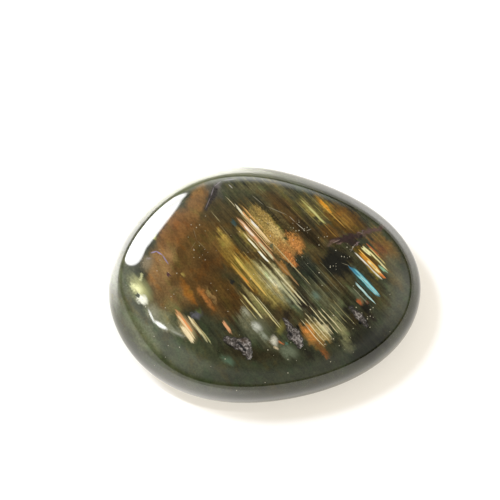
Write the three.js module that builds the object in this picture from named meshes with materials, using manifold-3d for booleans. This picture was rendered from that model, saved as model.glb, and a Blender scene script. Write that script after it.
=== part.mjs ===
// A polished labradorite pebble: one piece of stone with three small pits and a level patch underneath.
// Millimetres, +Z up. The origin is on the surface it lies on, under the middle of its box.

import * as THREE from 'three';
import { mergeVertices } from 'three/addons/utils/BufferGeometryUtils.js';
import Module from 'manifold-3d';

const wasm = await Module();
wasm.setup();

// Driving dimensions of the rounded body, measured from the stone's middle
const HALF_LENGTH = 24.4;
const HALF_WIDTH = 16.9;
const HEIGHT_ABOVE = 8.5;
const HEIGHT_BELOW = 7.4;
const REST_BELOW = 7.2;

// The side view is an ellipse made a little boxy: 2 would be a plain ellipse
const BLUNTNESS = 2.55;

// How the plan departs from an ellipse: the blunt end, the flat sides and the shoulders.
// Each swell has that many lobes, a share of the radius and the direction of its first lobe.
const PLAN_SWELLS = [
  { lobes: 1, share: 0.1, towardDeg: -32 },
  { lobes: 2, share: -0.054, towardDeg: 3 },
  { lobes: 3, share: 0.036, towardDeg: -129 },
];

// The face that was ground a little flatter, at the blunt end, and how softly its edge blends in
const GROUND_FACE = { azimuthDeg: 212, elevationDeg: 42, distance: 16.5 };
const BLEND_POWER = 16;

// The slab that is cut away under the stone, to leave the level patch it lies on
const SLAB_SIDE = 60;
const SLAB_THICKNESS = 4;

// Segments of the block that is rounded into the stone
const SEGMENTS_X = 28;
const SEGMENTS_Y = 22;
const SEGMENTS_Z = 16;

// The pits, as overlapping scoops. x and y are their places in plan from the stone's middle,
// and mouth is the radius of the scoop where it meets the polished surface.
const ELBOW_PIT = [
  { x: -2.8, y: -10.9, mouth: 0.45 },
  { x: -1.95, y: -11.3, mouth: 0.65 },
  { x: -1.05, y: -11.6, mouth: 0.85 },
  { x: -0.1, y: -11.7, mouth: 1.0 },
  { x: 0.25, y: -12.6, mouth: 0.75 },
  { x: 0.55, y: -13.3, mouth: 0.5 },
];
const WIDENING_PIT = [
  { x: 5.65, y: -7.95, mouth: 0.25 },
  { x: 6.15, y: -8.6, mouth: 0.35 },
  { x: 6.65, y: -9.45, mouth: 0.6 },
  { x: 7.15, y: -10.3, mouth: 1.0 },
  { x: 7.7, y: -11.0, mouth: 0.8 },
  { x: 8.0, y: -11.7, mouth: 0.5 },
];
const SMALL_PIT = [
  { x: 15.5, y: -6.05, mouth: 0.3 },
  { x: 16.15, y: -6.7, mouth: 0.45 },
  { x: 16.75, y: -7.25, mouth: 0.6 },
  { x: 17.35, y: -7.9, mouth: 0.45 },
  { x: 17.8, y: -8.45, mouth: 0.3 },
];
const PITS = [ELBOW_PIT, WIDENING_PIT, SMALL_PIT];
const PIT_DEPTH_SHARE = 0.6;
const SCOOP_DETAIL = 2;

// How finely points and directions on the surface are worked out
const HALVINGS = 30;
const SLOPE_STEP = 0.01;

const stoneMaterial = new THREE.MeshStandardMaterial({
  color: new THREE.Color(0.3, 0.28, 0.2),
  roughness: 0.12,
  metalness: 0,
});

const radians = THREE.MathUtils.degToRad;

// The plan outline's radius in the direction of an angle
function planRadius(angle) {
  const ellipse = (HALF_LENGTH * HALF_WIDTH)
    / Math.hypot(HALF_WIDTH * Math.cos(angle), HALF_LENGTH * Math.sin(angle));
  let swell = 1;
  for (const { lobes, share, towardDeg } of PLAN_SWELLS) {
    swell += share * Math.cos(lobes * (angle - radians(towardDeg)));
  }
  return ellipse * swell;
}

// The outward direction of the ground face
function groundFaceNormal() {
  const azimuth = radians(GROUND_FACE.azimuthDeg);
  const elevation = radians(GROUND_FACE.elevationDeg);
  return new THREE.Vector3(
    Math.cos(azimuth) * Math.cos(elevation),
    Math.sin(azimuth) * Math.cos(elevation),
    Math.sin(elevation),
  );
}
const GROUND_NORMAL = groundFaceNormal();

// How far out a point is: 1 on the stone's surface, less inside, and in proportion along any ray
function reach(point) {
  const across = Math.hypot(point.x, point.y) / planRadius(Math.atan2(point.y, point.x));
  const upward = Math.abs(point.z) / (point.z > 0 ? HEIGHT_ABOVE : HEIGHT_BELOW);
  const rounded = (across ** BLUNTNESS + upward ** BLUNTNESS) ** (1 / BLUNTNESS);
  const ground = Math.max(0, point.dot(GROUND_NORMAL) / GROUND_FACE.distance);
  return (rounded ** BLEND_POWER + ground ** BLEND_POWER) ** (1 / BLEND_POWER);
}

// Evens out the spacing of points that are pushed from a cube's face onto a ball
function even(value) {
  return Math.tan((value * Math.PI) / 4);
}

// The rounded stone without its pits: a block whose points are pushed onto the surface
function bodyGeometry() {
  const block = new THREE.BoxGeometry(2, 2, 2, SEGMENTS_X, SEGMENTS_Y, SEGMENTS_Z);
  block.deleteAttribute('normal');
  block.deleteAttribute('uv');
  const geometry = mergeVertices(block);
  const position = geometry.attributes.position;
  const point = new THREE.Vector3();
  for (let i = 0; i < position.count; i += 1) {
    point.fromBufferAttribute(position, i);
    point.set(even(point.x), even(point.y), even(point.z)).normalize();
    point.multiply(new THREE.Vector3(HALF_LENGTH, HALF_WIDTH, HEIGHT_ABOVE));
    point.divideScalar(reach(point));
    position.setXYZ(i, point.x, point.y, point.z);
  }
  return geometry;
}

// Everything below the height that the stone rests at
function slabGeometry() {
  const slab = new THREE.BoxGeometry(SLAB_SIDE, SLAB_SIDE, SLAB_THICKNESS);
  slab.translate(0, 0, -REST_BELOW - SLAB_THICKNESS / 2);
  slab.deleteAttribute('normal');
  slab.deleteAttribute('uv');
  return mergeVertices(slab);
}

// The point of the upper surface over a place in plan
function surfacePoint(x, y) {
  let low = 0;
  let high = HEIGHT_ABOVE;
  for (let step = 0; step < HALVINGS; step += 1) {
    const middle = (low + high) / 2;
    if (reach(new THREE.Vector3(x, y, middle)) < 1) {
      low = middle;
    } else {
      high = middle;
    }
  }
  return new THREE.Vector3(x, y, high);
}

// The outward direction of the surface at a point on it
function surfaceNormal(point) {
  const slope = (dx, dy, dz) => {
    const offset = new THREE.Vector3(dx, dy, dz).multiplyScalar(SLOPE_STEP);
    return reach(point.clone().add(offset)) - reach(point.clone().sub(offset));
  };
  return new THREE.Vector3(slope(1, 0, 0), slope(0, 1, 0), slope(0, 0, 1)).normalize();
}

// A pit's scoops with one more halfway between each pair, so that they run into one trough
function trough(scoops) {
  const all = [scoops[0]];
  for (let i = 1; i < scoops.length; i += 1) {
    const before = scoops[i - 1];
    const after = scoops[i];
    all.push({
      x: (before.x + after.x) / 2,
      y: (before.y + after.y) / 2,
      mouth: (before.mouth + after.mouth) / 2,
    });
    all.push(after);
  }
  return all;
}

// One scoop: a ball that cuts a bowl of the given mouth, with its depth in proportion
function scoopGeometry({ x, y, mouth }) {
  const depth = mouth * PIT_DEPTH_SHARE;
  const radius = (mouth ** 2 + depth ** 2) / (2 * depth);
  const ball = new THREE.IcosahedronGeometry(radius, SCOOP_DETAIL);
  const surface = surfacePoint(x, y);
  const centre = surface.clone().addScaledVector(surfaceNormal(surface), radius - depth);
  ball.translate(centre.x, centre.y, centre.z);
  ball.deleteAttribute('normal');
  ball.deleteAttribute('uv');
  return mergeVertices(ball);
}

// A closed mesh as a solid that can be cut
function toSolid(geometry) {
  const vertProperties = Float32Array.from(geometry.attributes.position.array);
  const triVerts = Uint32Array.from(geometry.index.array);
  return new wasm.Manifold(new wasm.Mesh({ numProp: 3, vertProperties, triVerts }));
}

// A cut solid as a geometry
function toGeometry(solid) {
  const mesh = solid.getMesh();
  const geometry = new THREE.BufferGeometry();
  geometry.setAttribute('position', new THREE.BufferAttribute(mesh.vertProperties, mesh.numProp));
  geometry.setIndex(new THREE.BufferAttribute(mesh.triVerts, 1));
  geometry.computeVertexNormals();
  return geometry;
}

// The whole stone: the rounded body, cut level underneath, with its pits
function pebbleGeometry() {
  let solid = toSolid(bodyGeometry()).subtract(toSolid(slabGeometry()));
  for (const scoop of PITS.flatMap(trough)) {
    solid = solid.subtract(toSolid(scoopGeometry(scoop)));
  }
  return toGeometry(solid);
}

const pebble = new THREE.Mesh(pebbleGeometry(), stoneMaterial);
pebble.name = 'pebble';

// Stand the stone on the ground, with the middle of its box over the origin
pebble.geometry.computeBoundingBox();
const boxMiddle = pebble.geometry.boundingBox.getCenter(new THREE.Vector3());
pebble.position.set(-boxMiddle.x, -boxMiddle.y, REST_BELOW);

const part = new THREE.Group();
part.add(pebble);

export default part;
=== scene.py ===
# The looks of a polished labradorite pebble: its fine surface, the flashes inside it and its rough pits.
# Lengths are in millimetres, as in the part's source, except where a comment says metres.
import math

import bmesh
import bpy
import numpy as np
from mathutils import Matrix, Vector, noise


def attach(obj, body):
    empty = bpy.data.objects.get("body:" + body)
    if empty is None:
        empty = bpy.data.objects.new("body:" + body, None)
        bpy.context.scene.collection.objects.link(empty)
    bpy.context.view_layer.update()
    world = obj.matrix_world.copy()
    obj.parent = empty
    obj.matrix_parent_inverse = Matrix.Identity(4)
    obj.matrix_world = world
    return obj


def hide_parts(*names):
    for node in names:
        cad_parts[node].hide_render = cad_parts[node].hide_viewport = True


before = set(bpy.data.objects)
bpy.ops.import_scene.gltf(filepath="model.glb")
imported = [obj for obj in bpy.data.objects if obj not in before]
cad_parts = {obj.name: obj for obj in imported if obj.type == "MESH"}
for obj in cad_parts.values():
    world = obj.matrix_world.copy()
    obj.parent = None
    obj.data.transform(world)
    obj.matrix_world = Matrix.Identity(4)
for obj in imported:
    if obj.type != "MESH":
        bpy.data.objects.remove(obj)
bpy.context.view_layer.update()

MM = 0.001

# Driving dimensions of the rounded body, measured from the stone's middle
HALF_LENGTH = 24.4
HALF_WIDTH = 16.9
HEIGHT_ABOVE = 8.5
HEIGHT_BELOW = 7.4
REST_BELOW = 7.2
BLUNTNESS = 2.55

# How the plan departs from an ellipse: lobes, share of the radius and direction of the first lobe
PLAN_SWELLS = ((1, 0.1, -32.0), (2, -0.054, 3.0), (3, 0.036, -129.0))

# The face that was ground a little flatter, and how softly its edge blends in
GROUND_AZIMUTH, GROUND_ELEVATION, GROUND_DISTANCE = 212.0, 42.0, 16.5
BLEND_POWER = 16

# The pits, as troughs through points in plan: x, y and half the trough's width there
ELBOW_PIT = ((-2.8, -10.9, 0.45), (-1.95, -11.3, 0.65), (-1.05, -11.6, 0.85),
             (-0.1, -11.7, 1.0), (0.25, -12.6, 0.75), (0.55, -13.3, 0.5))
WIDENING_PIT = ((5.65, -7.95, 0.25), (6.15, -8.6, 0.35), (6.65, -9.45, 0.6),
                (7.15, -10.3, 1.0), (7.7, -11.0, 0.8), (8.0, -11.7, 0.5))
SMALL_PIT = ((15.5, -6.05, 0.3), (16.15, -6.7, 0.45), (16.75, -7.25, 0.6),
             (17.35, -7.9, 0.45), (17.8, -8.45, 0.3))
PITS = (ELBOW_PIT, WIDENING_PIT, SMALL_PIT)
PIT_DEPTH_SHARE = 0.6

# The pits' ragged edges and rough floors, as layers of grain: height, size of the grains and seed.
# The floor gets rougher down to the given depth, and each seed starts somewhere else in the noise.
RAGGED_LAYERS = ((0.16, 0.55, 1), (0.08, 0.2, 2))
ROUGH_LAYERS = ((0.11, 0.32, 3), (0.066, 0.14, 4))
ROUGH_DEPTH = 0.15
SEED_SHIFT = (17.0, 5.0, 29.0)

# Segments of the block that is rounded into the stone, and how near the pits each finer step begins
SEGMENTS = (96, 74, 48)
FINER_WITHIN = (1.0, 0.7, 0.45)

# How finely the surface's direction is worked out, and the decimals by which shared points are told
SLOPE_STEP = 0.01
SHARED_DECIMALS = 6

# The camera of the photograph
CAMERA_ELEVATION = 74.0
CAMERA_DISTANCE = 600.0
PIXELS_PER_MM = 6.74
FRAME_PIXELS = 500
SENSOR_MM = 36.0
MIDDLE_RIGHT_OF_AIM = -0.71
MIDDLE_ABOVE_AIM = -4.55
CLIP_START_METRES = 0.01

# The lamellae fan out from a point far up and to the left, in the plane that the camera faces
FAN_U, FAN_V = -104.0, 125.0
FAN_RADIUS = math.hypot(FAN_U, FAN_V)
FAN_ANGLE = math.atan2(FAN_V, -FAN_U)

# How brightly the top of the stone is lit, and the stone's colour where nothing flashes
LIGHT_LEVEL = 1.6
BASE_COLOUR = (56, 58, 40)

# How squarely the ends of a streak taper, and how far out its full strength reaches
TAPER_POWER = 5.0
STREAK_CORE = 0.2

# How far a new batch of marks is moved, which is too little to see
BATCH_STEP = 0.001


def plan_radius(angle):
    """The plan outline's radius in the direction of an angle."""
    ellipse = HALF_LENGTH * HALF_WIDTH / np.hypot(HALF_WIDTH * np.cos(angle), HALF_LENGTH * np.sin(angle))
    swell = 1.0
    for lobes, share, toward in PLAN_SWELLS:
        swell = swell + share * np.cos(lobes * (angle - math.radians(toward)))
    return ellipse * swell


def direction(azimuth, elevation):
    """The unit vector of an azimuth and an elevation in degrees."""
    a, e = math.radians(azimuth), math.radians(elevation)
    return np.array((math.cos(a) * math.cos(e), math.sin(a) * math.cos(e), math.sin(e)))


GROUND_NORMAL = direction(GROUND_AZIMUTH, GROUND_ELEVATION)


def reach(points):
    """How far out points are: 1 on the surface, less inside, and in proportion along any ray."""
    x, y, z = points.T
    across = np.hypot(x, y) / plan_radius(np.arctan2(y, x))
    upward = np.abs(z) / np.where(z > 0, HEIGHT_ABOVE, HEIGHT_BELOW)
    rounded = (across ** BLUNTNESS + upward ** BLUNTNESS) ** (1 / BLUNTNESS)
    ground = np.maximum(0, points @ GROUND_NORMAL / GROUND_DISTANCE)
    return (rounded ** BLEND_POWER + ground ** BLEND_POWER) ** (1 / BLEND_POWER)


def surface_normals(points):
    """The outward direction of the surface at points on it."""
    slopes = [reach(points + offset) - reach(points - offset) for offset in np.eye(3) * SLOPE_STEP]
    normals = np.stack(slopes, -1)
    return normals / np.linalg.norm(normals, axis=1, keepdims=True)


def block_grid():
    """Points and quads of a block from -1 to 1, with the points along its edges shared."""
    points, quads, count = [], [], 0
    for axis in range(3):
        u_axis, v_axis = (axis + 1) % 3, (axis + 2) % 3
        us = np.linspace(-1, 1, SEGMENTS[u_axis] + 1)
        vs = np.linspace(-1, 1, SEGMENTS[v_axis] + 1)
        for side in (-1, 1):
            grid = np.empty((len(us), len(vs), 3))
            grid[..., axis] = side
            grid[..., u_axis] = us[:, None]
            grid[..., v_axis] = vs[None, :]
            index = count + np.arange(len(us) * len(vs)).reshape(len(us), len(vs))
            corners = (index[:-1, :-1], index[1:, :-1], index[1:, 1:], index[:-1, 1:])
            around = np.stack(corners if side > 0 else corners[::-1], -1)
            points.append(grid.reshape(-1, 3))
            quads.append(around.reshape(-1, 4))
            count += len(us) * len(vs)
    every_point = np.concatenate(points).round(SHARED_DECIMALS)
    shared, back = np.unique(every_point, axis=0, return_inverse=True)
    return shared, back.reshape(-1)[np.concatenate(quads)]


def onto_surface(points):
    """Pushes points out or in, along rays from the stone's middle, until they are on its surface."""
    return points / reach(points)[:, None]


def trough_distance(points, scoops):
    """Each point's distance in plan to the middle line of a trough, and half the trough's width there."""
    best = np.full(len(points), np.inf)
    mouth = np.zeros(len(points))
    for (ax, ay, a_mouth), (bx, by, b_mouth) in zip(scoops, scoops[1:]):
        run = np.array((bx - ax, by - ay))
        offset = points[:, :2] - (ax, ay)
        along = np.clip(offset @ run / (run @ run), 0, 1)
        here_mouth = a_mouth + along * (b_mouth - a_mouth)
        away = np.linalg.norm(offset - along[:, None] * run, axis=1)
        nearer = away - here_mouth < best - mouth
        best = np.where(nearer, away, best)
        mouth = np.where(nearer, here_mouth, mouth)
    return best, mouth


def pit_gap(points):
    """How far outside the nearest pit's mouth each point of the upper face is, in plan."""
    gaps = []
    for scoops in PITS:
        away, mouth = trough_distance(points, scoops)
        gaps.append(away - mouth)
    return np.where(points[:, 2] > 0, np.min(gaps, axis=0), np.inf)


def grain(points, layers):
    """Smooth noise at each point, as the sum of its layers."""
    total = np.zeros(len(points))
    for height, size, seed in layers:
        shift = Vector(SEED_SHIFT) * seed
        total += height * np.array([noise.noise(Vector(p) / size + shift) for p in points])
    return total


def pit_depth(points):
    """How deep the pits are at each point, with ragged edges and a rough floor."""
    ragged = grain(points, RAGGED_LAYERS)
    rough = grain(points, ROUGH_LAYERS)
    depth = np.zeros(len(points))
    for scoops in PITS:
        away, mouth = trough_distance(points, scoops)
        deepest = mouth * PIT_DEPTH_SHARE
        radius = (mouth ** 2 + deepest ** 2) / (2 * deepest)
        level = np.sqrt(np.maximum(radius ** 2 - (away + ragged) ** 2, 0)) - (radius - deepest)
        bowl = np.where(level > 0, level + rough * np.clip(level / ROUGH_DEPTH, 0, 1), 0)
        depth = np.maximum(depth, bowl)
    return depth


def refine_near_pits(bm):
    """Splits the quads near the pits finer, in steps, keeping every new point on the surface."""
    for within in FINER_WITHIN:
        middles = np.array([(e.verts[0].co + e.verts[1].co) / 2 for e in bm.edges])
        near = pit_gap(middles) < within
        edges = [e for e, chosen in zip(bm.edges, near) if chosen]
        bmesh.ops.subdivide_edges(bm, edges=edges, cuts=1, use_grid_fill=True)
        bm.verts.ensure_lookup_table()
        points = np.array([v.co for v in bm.verts])
        for vert, place in zip(bm.verts, onto_surface(points)):
            vert.co = place


def build_pebble():
    """The stone in place in the row frame, and where its middle is, in millimetres."""
    points, quads = block_grid()
    points = np.tan(points * math.pi / 4)
    points /= np.linalg.norm(points, axis=1, keepdims=True)
    points = onto_surface(points * (HALF_LENGTH, HALF_WIDTH, HEIGHT_ABOVE))
    mesh = bpy.data.meshes.new("pebble_stone")
    mesh.from_pydata(points.tolist(), [], quads.tolist())
    bm = bmesh.new()
    bm.from_mesh(mesh)
    refine_near_pits(bm)
    bmesh.ops.triangulate(bm, faces=[f for f in bm.faces if len(f.verts) > 4])
    bm.to_mesh(mesh)
    bm.free()
    points = np.array([v.co for v in mesh.vertices])
    depth = np.zeros(len(points))
    near = pit_gap(points) < max(FINER_WITHIN)
    depth[near] = pit_depth(points[near])
    points -= surface_normals(points) * depth[:, None]
    points[:, 2] = np.maximum(points[:, 2], -REST_BELOW)
    lowest, highest = points.min(axis=0), points.max(axis=0)
    middle = np.array((-(lowest[0] + highest[0]) / 2, -(lowest[1] + highest[1]) / 2, REST_BELOW))
    mesh.vertices.foreach_set("co", ((points + middle) * MM).ravel())
    pit = mesh.attributes.new("pit", "FLOAT", "POINT")
    pit.data.foreach_set("value", depth.astype(np.float32))
    mesh.shade_smooth()
    mesh.update()
    pebble = bpy.data.objects.new("pebble_stone", mesh)
    bpy.context.collection.objects.link(pebble)
    return pebble, middle


def albedo(seen):
    """The colour of a surface that looks as given, 0 to 255, in this studio's light.
    The numbers are those of the standard curve for screen colours."""
    linear = [((c / 255 + 0.055) / 1.055) ** 2.4 if c > 10 else c / 255 / 12.92 for c in seen]
    return tuple(c / LIGHT_LEVEL for c in linear) + (1,)


# The mixing node's sockets for colours, which share their names with others
MIX_A, MIX_B, MIX_RESULT = 6, 7, 2


class Graph:
    """Adds nodes to one node tree and links them as they are made."""

    def __init__(self, tree):
        self.tree = tree
        tree.nodes.clear()

    def add(self, kind, settings, inputs, output=0):
        """A new node. Inputs are by name or number, each a value or another node's output.
        Gives the output with the given name or number, or the whole node where that is None."""
        node = self.tree.nodes.new(kind)
        for name, value in settings.items():
            setattr(node, name, value)
        for key, value in inputs.items():
            if isinstance(value, bpy.types.NodeSocket):
                self.tree.links.new(value, node.inputs[key])
            else:
                node.inputs[key].default_value = value
        return node.outputs[output] if output is not None else node

    def math(self, operation, a, b=0.0, c=0.0):
        return self.add("ShaderNodeMath", {"operation": operation}, {0: a, 1: b, 2: c})

    def swing(self, value, width):
        """Turns a value from 0 to 1 into one that swings about 0, over the given width."""
        return self.math("MULTIPLY_ADD", value, width, -width / 2)

    def scaled(self, vector, scale, turn=(0, 0, 0), move=(0, 0, 0)):
        inputs = {"Vector": vector, "Location": move, "Rotation": turn, "Scale": scale}
        return self.add("ShaderNodeMapping", {}, inputs)

    def noise(self, vector, scale=1.0, detail=2.0, roughness=0.5):
        inputs = {"Vector": vector, "Scale": scale, "Detail": detail, "Roughness": roughness}
        return self.add("ShaderNodeTexNoise", {}, inputs)

    def span(self, value, low, high, to_low=0.0, to_high=1.0):
        """Turns a range of values smoothly into another."""
        inputs = {"Value": value, "From Min": low, "From Max": high, "To Min": to_low, "To Max": to_high}
        return self.add("ShaderNodeMapRange", {"interpolation_type": "SMOOTHSTEP", "clamp": False}, inputs)

    def mix(self, factor, a, b, blend="MIX"):
        settings = {"data_type": "RGBA", "blend_type": blend}
        return self.add("ShaderNodeMix", settings, {0: factor, MIX_A: a, MIX_B: b}, MIX_RESULT)

    def grey(self, value):
        """A value as a grey colour."""
        return self.add("ShaderNodeCombineColor", {}, {0: value, 1: value, 2: value})

    def vector(self, x, y):
        return self.add("ShaderNodeCombineXYZ", {}, {"X": x, "Y": y})

    def spot(self, group, name, under, place, centre, half_sizes, turn, colour, strength, edge_share):
        """The colour under a soft elliptical spot, painted over with it."""
        inputs = {"Under": under, "Place": place, "Centre": (*centre, 0), "Half Sizes": (*half_sizes, 1),
                  "Turn": (0, 0, math.radians(turn)), "Colour": colour, "Edge Share": edge_share,
                  "Strength": strength}
        return self.add("ShaderNodeGroup", {"node_tree": group, "label": name}, inputs)

    def next_batch(self, x, y):
        """The same place through one more node. Marks that use it are worked out after the marks before them,
        because the renderer can't hold all of their masks at once."""
        moved = self.scaled(self.vector(x, y), (1, 1, 1), move=(BATCH_STEP, BATCH_STEP, 0))
        return self.add("ShaderNodeSeparateXYZ", {}, {"Vector": moved}, None).outputs[:2]

    def finish(self, kind, shader, inputs):
        """Adds the shader and links it to the tree's output."""
        output = self.add(kind, {}, {}, None)
        surface = self.add(shader, {}, inputs)
        self.tree.links.new(surface, output.inputs["Surface"])


def new_group(name, inputs):
    """A node group that turns the given inputs into a colour, and a graph to fill it with."""
    tree = bpy.data.node_groups.new(name, "ShaderNodeTree")
    for socket_name, kind in inputs:
        tree.interface.new_socket(socket_name, in_out="INPUT", socket_type="NodeSocket" + kind)
    tree.interface.new_socket("Result", in_out="OUTPUT", socket_type="NodeSocketColor")
    g = Graph(tree)
    return g, g.add("NodeGroupInput", {}, {}, None).outputs


def finish_group(g, result):
    g.add("NodeGroupOutput", {}, {"Result": result}, None)
    return g.tree


def build_spot_group():
    """Paints a soft elliptical spot: full strength in its core, falling to nothing at its edge."""
    inputs = (("Under", "Color"), ("Place", "Vector"), ("Centre", "Vector"), ("Half Sizes", "Vector"),
              ("Turn", "Vector"), ("Colour", "Color"), ("Edge Share", "Float"), ("Strength", "Float"))
    g, given = new_group("soft_spot", inputs)
    mapped = {"Vector": given["Place"], "Location": given["Centre"], "Rotation": given["Turn"],
              "Scale": given["Half Sizes"]}
    local = g.add("ShaderNodeMapping", {"vector_type": "TEXTURE"}, mapped)
    within = g.add("ShaderNodeTexGradient", {"gradient_type": "SPHERICAL"}, {"Vector": local}, "Fac")
    mask = g.span(within, 0.0, given["Edge Share"], 0.0, given["Strength"])
    return finish_group(g, g.mix(mask, given["Under"], given["Colour"]))


def build_streak_group():
    """Paints a long streak with soft sides and tapering ends."""
    inputs = (("Under", "Color"), ("Across", "Float"), ("Along", "Float"), ("Middle Across", "Float"),
              ("Middle Along", "Float"), ("Half Length", "Float"), ("Half Width", "Float"),
              ("Colour", "Color"), ("Strength", "Float"), ("Broken", "Float"))
    g, given = new_group("streak", inputs)
    aside = g.math("DIVIDE", g.math("SUBTRACT", given["Across"], given["Middle Across"]), given["Half Width"])
    ahead = g.math("DIVIDE", g.math("SUBTRACT", given["Along"], given["Middle Along"]), given["Half Length"])
    taper = g.math("POWER", g.math("ABSOLUTE", ahead), TAPER_POWER)
    body = g.span(g.math("MULTIPLY_ADD", aside, aside, taper), 1.0, STREAK_CORE)
    mask = g.math("MULTIPLY", body, g.math("MULTIPLY", given["Strength"], given["Broken"]))
    return finish_group(g, g.mix(mask, given["Under"], given["Colour"]))


# Marks in the stone lie in the plane that the camera faces. Places are millimetres to the right of and above
# the stone's middle, angles are in degrees from the first of those directions, and colours are as seen.
# Each mark's name labels its node.

# Broad patches: name, place, half sizes, angle, colour, strength, and the share of the patch at full strength
PATCHES = (
    # The ground colours
    ("olive ground", (2.5, 2.7), (16.4, 10.9), -12, (74, 63, 36), 0.95, 0.62),
    ("green shell", (-10.1, -10.2), (10.9, 5), -32, (70, 75, 50), 0.9, 0.35),
    ("green right", (22.4, -1.7), (2.6, 5.3), -14, (78, 80, 58), 0.85, 0.3),
    ("foot haze", (3.9, -9.3), (2.9, 1.6), -20, (78, 77, 54), 0.85, 0.2),
    ("upper right edge", (20.6, 5.5), (4.1, 1.2), -52, (112, 92, 50), 0.85, 0.3),
    ("green foot", (2.5, -13.4), (10.9, 2.5), 3, (54, 58, 38), 0.9, 0.4),
    ("dark low right", (18.6, -9.7), (5, 2.1), 40, (30, 31, 17), 0.95, 0.35),
    # The lighter greens at the left end are partly painted reflection of the bright walls, with a painted
    # glow along the ridge
    ("green shell left and painted reflection", (-18.1, -1.4), (3.2, 7.3), 8, (90, 94, 68), 0.9, 0.35),
    ("painted reflection glow, left", (-12.5, -4.9), (3.8, 2.1), -45, (126, 126, 94), 0.88, 0.25),
    ("green shell lap and painted reflection", (-15.1, -7.5), (5.3, 1.9), -52, (104, 108, 80), 0.9, 0.35),
    # The brown and amber end
    ("brown mass", (-8.1, 2.7), (8.8, 5.6), 68, (98, 72, 36), 0.95, 0.55),
    ("brown mass foot", (-4.6, -2.2), (5.6, 3.5), -40, (84, 60, 28), 0.85, 0.4),
    ("amber side", (-12.1, 2.7), (5.6, 2.5), 76, (150, 116, 74), 0.85, 0.4),
    ("amber shoulder", (-10.1, 7.7), (4.4, 2.5), 52, (122, 84, 42), 0.9, 0.45),
    ("amber neck", (-7.2, 11.5), (3.8, 1.8), 68, (124, 90, 48), 0.9, 0.5),
    ("tawny foot", (-11, -2.2), (3.8, 2.8), 20, (120, 94, 58), 0.8, 0.3),
    ("umber hollow", (-5.7, 2.7), (3.2, 1.9), -60, (72, 52, 24), 0.85, 0.3),
    ("umber lap", (-2.8, -1.7), (4.7, 1.9), -57, (80, 58, 24), 0.85, 0.4),
    ("orange sheet left", (-8.5, -1.5), (2.6, 0.9), -62, (146, 94, 34), 0.85, 0.3),
    ("umber gap", (-6.9, -2), (2.6, 0.4), -60, (84, 60, 26), 0.8, 0.3),
    ("orange sheet right", (-5.7, -2.5), (2.6, 0.6), -58, (158, 106, 54), 0.85, 0.3),
    ("orange sheet edge", (-5, -2.2), (2.3, 0.3), -57, (150, 118, 72), 0.75, 0.2),
    ("smoky top", (-4.1, 10.1), (3.2, 2.2), -50, (78, 66, 40), 0.85, 0.4),
    ("smoky grey", (-4.7, 13.3), (2.1, 1.5), -50, (86, 82, 70), 0.8, 0.2),
    # The dark top edge
    ("dark brow", (3.3, 13.6), (6.2, 1.6), -6, (92, 86, 54), 0.9, 0.4),
    ("green brow", (-1.9, 13.2), (2.1, 1.2), -30, (76, 74, 46), 0.7, 0.2),
    ("green corner", (8.3, 13.9), (2.9, 1.3), -28, (64, 72, 50), 0.85, 0.3),
    ("dark furrow", (6, 10.7), (5.3, 1.5), -44, (78, 60, 30), 0.92, 0.5),
    ("dark furrow end", (9.2, 7.1), (3.8, 1.6), -44, (50, 40, 22), 0.92, 0.5),
    # The dark slope
    ("dark slope", (9.2, 0.8), (5.9, 2.9), -48, (46, 47, 33), 0.95, 0.5),
    ("grey slope", (12.4, -3.6), (6.5, 2.5), -48, (80, 80, 56), 0.9, 0.4),
    ("black hollow", (13.5, 2.7), (2.9, 2.6), -20, (31, 31, 24), 0.97, 0.55),
    ("black heel", (9.2, 1.9), (2.2, 1.8), -30, (44, 46, 36), 0.9, 0.3),
    ("olive nook", (19.2, -1.7), (3.8, 1.8), -56, (70, 62, 34), 0.9, 0.4),
    ("dark flank", (16.2, -5.8), (2.9, 2.2), 30, (42, 38, 24), 0.9, 0.35),
    ("dark flank end", (17.1, -8.4), (3.2, 1.8), 25, (32, 32, 19), 0.88, 0.3),
    ("dark foot", (0.7, -10.5), (6.7, 1.6), -8, (48, 42, 24), 0.85, 0.3),
    ("dark pool", (9.2, -10.5), (2.1, 1), -45, (30, 28, 20), 0.85, 0.1),
    ("green flank", (14.8, -9.4), (2.1, 1.2), -30, (104, 104, 74), 0.8, 0.2),
    # The amber far end
    ("amber roof", (14.6, 9), (5, 2.1), -34, (84, 60, 16), 0.95, 0.55),
    ("amber eave", (12.6, 7), (2.9, 1.3), -20, (88, 62, 24), 0.9, 0.4),
    ("amber end", (20.1, 4.9), (3.2, 1.6), -58, (116, 86, 38), 0.9, 0.45),
    ("olive end", (21.7, 1.3), (3.8, 1.6), -66, (86, 82, 52), 0.85, 0.4),
)

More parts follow.
